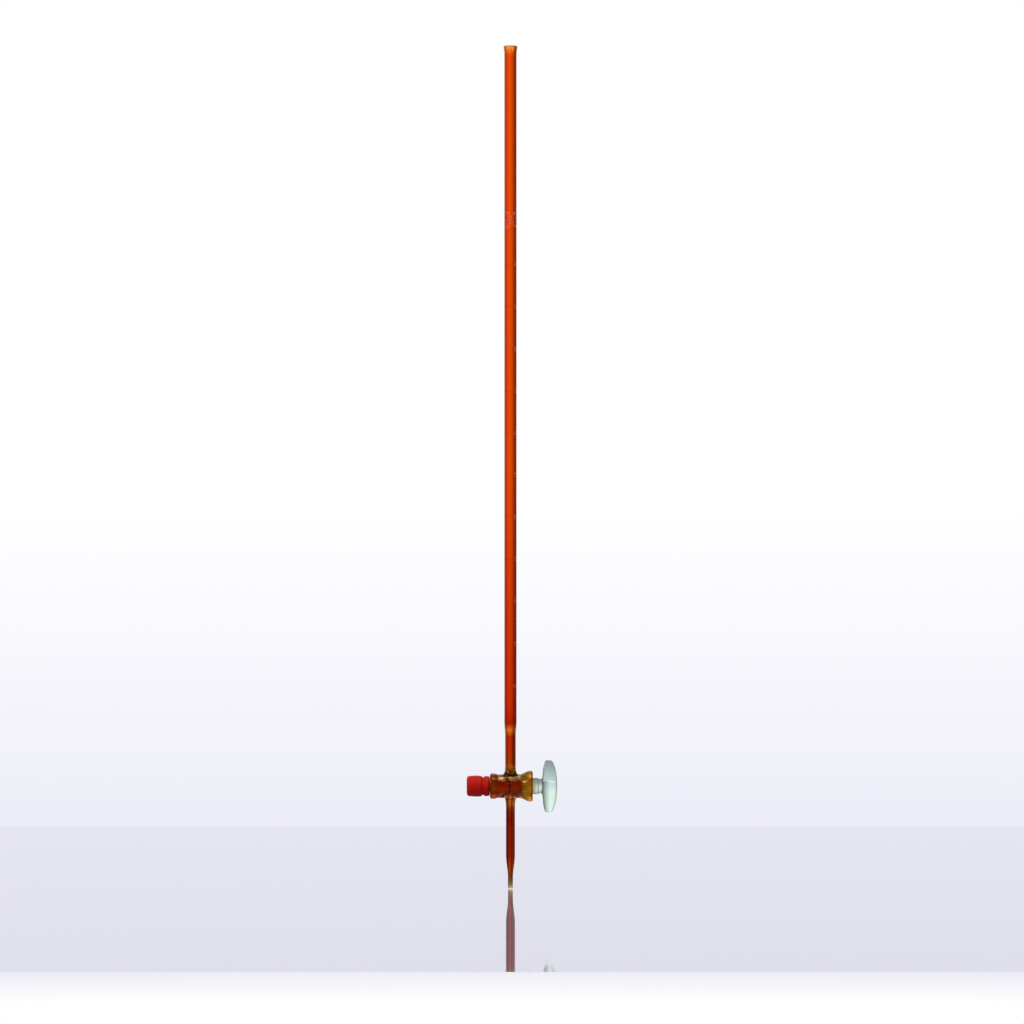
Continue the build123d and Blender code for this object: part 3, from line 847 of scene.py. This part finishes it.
def build_world():
    """A white surround, greyer below the horizon.

    Glass sees it with a dark card on the right and a grey one on the left, each by its bearing
    from straight behind. Reflections also see a dimmer room in front, and the surround lights the
    object less strongly than it looks.
    """
    world = bpy.data.worlds.new("surround")
    bpy.context.scene.world = world
    world.use_nodes = True
    tree = world.node_tree
    background = tree.nodes["Background"]
    direction = tree.nodes.new("ShaderNodeTexCoord").outputs["Generated"]
    split = tree.nodes.new("ShaderNodeSeparateXYZ")
    tree.links.new(direction, split.inputs[0])
    path = tree.nodes.new("ShaderNodeLightPath")
    lowest = -0.12
    stops = [(-0.12, (1.0, 1.0, 1.0)), (-0.108, (1.0, 1.0, 1.0)), (-0.1, (0.8, 0.8, 0.9))]
    stops += [(-0.069, (0.84, 0.84, 0.935)), (-0.055, (0.88, 0.88, 0.945))]
    stops += [(-0.042, (0.915, 0.90, 0.96)), (-0.02, (0.955, 0.96, 1.0)), (0.0, (1.0, 1.0, 1.0))]
    fade = math_node(tree, "SUBTRACT", 1.0, math_node(tree, "DIVIDE", split.outputs["Z"], lowest))
    sky = ramp(tree, fade, [(1 - height / lowest, colour) for height, colour in stops])
    is_glossy, is_through = path.outputs["Is Glossy Ray"], path.outputs["Is Transmission Ray"]
    only_glossy = math_node(tree, "MULTIPLY", is_glossy, math_node(tree, "SUBTRACT", 1.0, is_through))
    tree.links.new(mix_colours(tree, only_glossy, sky, (0.9, 0.9, 1.0)), background.inputs["Color"])
    bearing = math_node(tree, "ARCTAN2", split.outputs["X"], split.outputs["Y"])
    turns = [
        (-90, 0.5), (-26, 0.5), (-14, 0.75), (-6, 1.0), (0, 1.0), (2, 0.85), (5, 0.64), (10, 0.45), (15, 0.28)
    ]
    turns += [(22, 0.16), (75, 0.16), (90, 0.6), (110, 1.0)]
    first, last = turns[0][0], turns[-1][0]
    share = math_node(
        tree, "DIVIDE",
        math_node(tree, "SUBTRACT", bearing, math.radians(first)), math.radians(last - first)
    )
    carded = ramp(tree, share, [((turn - first) / (last - first), (part,) * 3) for turn, part in turns])
    behind = ease(tree, split.outputs["Y"], -0.4, 0.5)
    side_shade = ease(tree, math_node(tree, "ABSOLUTE", bearing), math.radians(30), math.radians(8))
    mirrored = math_node(
        tree, "MULTIPLY",
        mix_values(tree, side_shade, carded, 1.0),
        math_node(tree, "ADD", 0.05, math_node(tree, "MULTIPLY", behind, 0.95))
    )
    level = mix_values(tree, path.outputs["Is Diffuse Ray"], 1.0, 0.6)
    level = mix_values(tree, is_glossy, level, mirrored)
    level = mix_values(tree, is_through, level, carded)
    tree.links.new(level, background.inputs["Strength"])


def build_light(name, place, size, power):
    """A soft square light that faces the stopcock."""
    data = bpy.data.lights.new(name, "AREA")
    data.size = size
    data.energy = power
    light = bpy.data.objects.new(name, data)
    light.location = place
    towards = Vector((0, 0, 0.2)) - Vector(place)
    light.rotation_euler = towards.to_track_quat("-Z", "Y").to_euler()
    bpy.context.scene.collection.objects.link(light)


def build_camera(settings):
    data = bpy.data.cameras.new("camera")
    data.sensor_width = 36.0
    data.lens = data.sensor_width * settings.distance / settings.field
    data.clip_end = 100.0
    camera = bpy.data.objects.new("camera", data)
    camera.location = (1.1 * MM, -settings.distance, settings.height)
    camera.rotation_euler = (math.radians(90), 0, 0)
    bpy.context.scene.collection.objects.link(camera)
    bpy.context.scene.camera = camera


# ------------------------------------------------------------------ operators
class BURETTE_OT_glass_body(bpy.types.Operator):
    """Build the fused amber glass: measuring tube, inlet tube, stopcock barrel and jet"""

    bl_idname = "burette.glass_body"
    bl_label = "Glass Body"

    def execute(self, context):
        settings = context.scene.burette_glass
        nodes = ("measuring_tube", "inlet_tube", "stopcock_barrel", "delivery_jet")
        bm = build_glass_body(settings)
        finish_piece("glass_body", bm, amber_glass(settings), "burette", nodes)
        return {"FINISHED"}


class BURETTE_OT_stopcock_key(bpy.types.Operator):
    """Build the glass key: tail, ground plug with its bore, neck and handle"""

    bl_idname = "burette.stopcock_key"
    bl_label = "Stopcock Key"

    def execute(self, context):
        settings = context.scene.burette_key
        bm = build_key(settings)
        finish_piece("key", bm, clear_glass(settings), "key", ("stopcock_key",), FINE_LEVELS)
        return {"FINISHED"}


class BURETTE_OT_cap(bpy.types.Operator):
    """Build the rubber cap that holds the key in its socket"""

    bl_idname = "burette.cap"
    bl_label = "Retaining Cap"

    def execute(self, context):
        settings = context.scene.burette_trim
        finish_piece("cap", build_cap(), red_rubber(settings), "cap", ("retaining_cap",))
        return {"FINISHED"}


class BURETTE_OT_scale(bpy.types.Operator):
    """Give every fired-on mark, numeral and legend its enamel"""

    bl_idname = "burette.scale"
    bl_label = "Scale Marks"

    def execute(self, context):
        trim = context.scene.burette_trim
        stain = fired_deposit("scale_stain", tuple(trim.scale_stain), 1.0, 0.12)
        enamel = fired_deposit("figure_enamel", tuple(trim.figure_enamel), 0.78, 0.3)
        for names, material in ((SCALE_NODES, stain), (FIGURE_NODES, enamel)):
            for name in names:
                materials = frame["nodes"][name].data.materials
                materials.clear()
                materials.append(material)
        return {"FINISHED"}


class BURETTE_OT_stage(bpy.types.Operator):
    """Set the floor, the surround, the lights and the camera"""

    bl_idname = "burette.stage"
    bl_label = "Stage"

    def execute(self, context):
        settings = context.scene.burette_stage
        build_floor(settings)
        build_world()
        build_light("left_softbox", (-1.6, -1.0, 1.3), 0.6, 12.0)
        build_light("top_softbox", (0.3, -0.6, 2.2), 1.0, 10.0)
        build_camera(settings)
        context.scene.view_settings.view_transform = "Standard"
        return {"FINISHED"}


class BURETTE_PT_panel(bpy.types.Panel):
    """Lists the settings and the steps"""

    bl_label = "Burette"
    bl_idname = "BURETTE_PT_panel"
    bl_space_type = "VIEW_3D"
    bl_region_type = "UI"
    bl_category = "Burette"

    def draw(self, context):
        for settings in (getattr(context.scene, name) for name in SETTINGS):
            for name in settings.bl_rna.properties.keys():
                if name not in ("rna_type", "name"):
                    self.layout.prop(settings, name)
        for step in STEPS:
            self.layout.operator(step.bl_idname)


SETTINGS = {
    "burette_glass": BuretteGlass,
    "burette_key": BuretteKey,
    "burette_trim": BuretteTrim,
    "burette_stage": BuretteStage,
}
STEPS = (
    BURETTE_OT_glass_body,
    BURETTE_OT_stopcock_key,
    BURETTE_OT_cap,
    BURETTE_OT_scale,
    BURETTE_OT_stage,
)


def register():
    for item in (*SETTINGS.values(), *STEPS, BURETTE_PT_panel):
        bpy.utils.register_class(item)
    for name, settings in SETTINGS.items():
        setattr(bpy.types.Scene, name, bpy.props.PointerProperty(type=settings))


def unregister():
    for name in SETTINGS:
        delattr(bpy.types.Scene, name)
    for item in reversed((*SETTINGS.values(), *STEPS, BURETTE_PT_panel)):
        bpy.utils.unregister_class(item)


def main():
    register()
    bpy.ops.burette.glass_body()
    bpy.ops.burette.stopcock_key()
    bpy.ops.burette.cap()
    bpy.ops.burette.scale()
    bpy.ops.burette.stage()


if __name__ == "__main__":
    main()
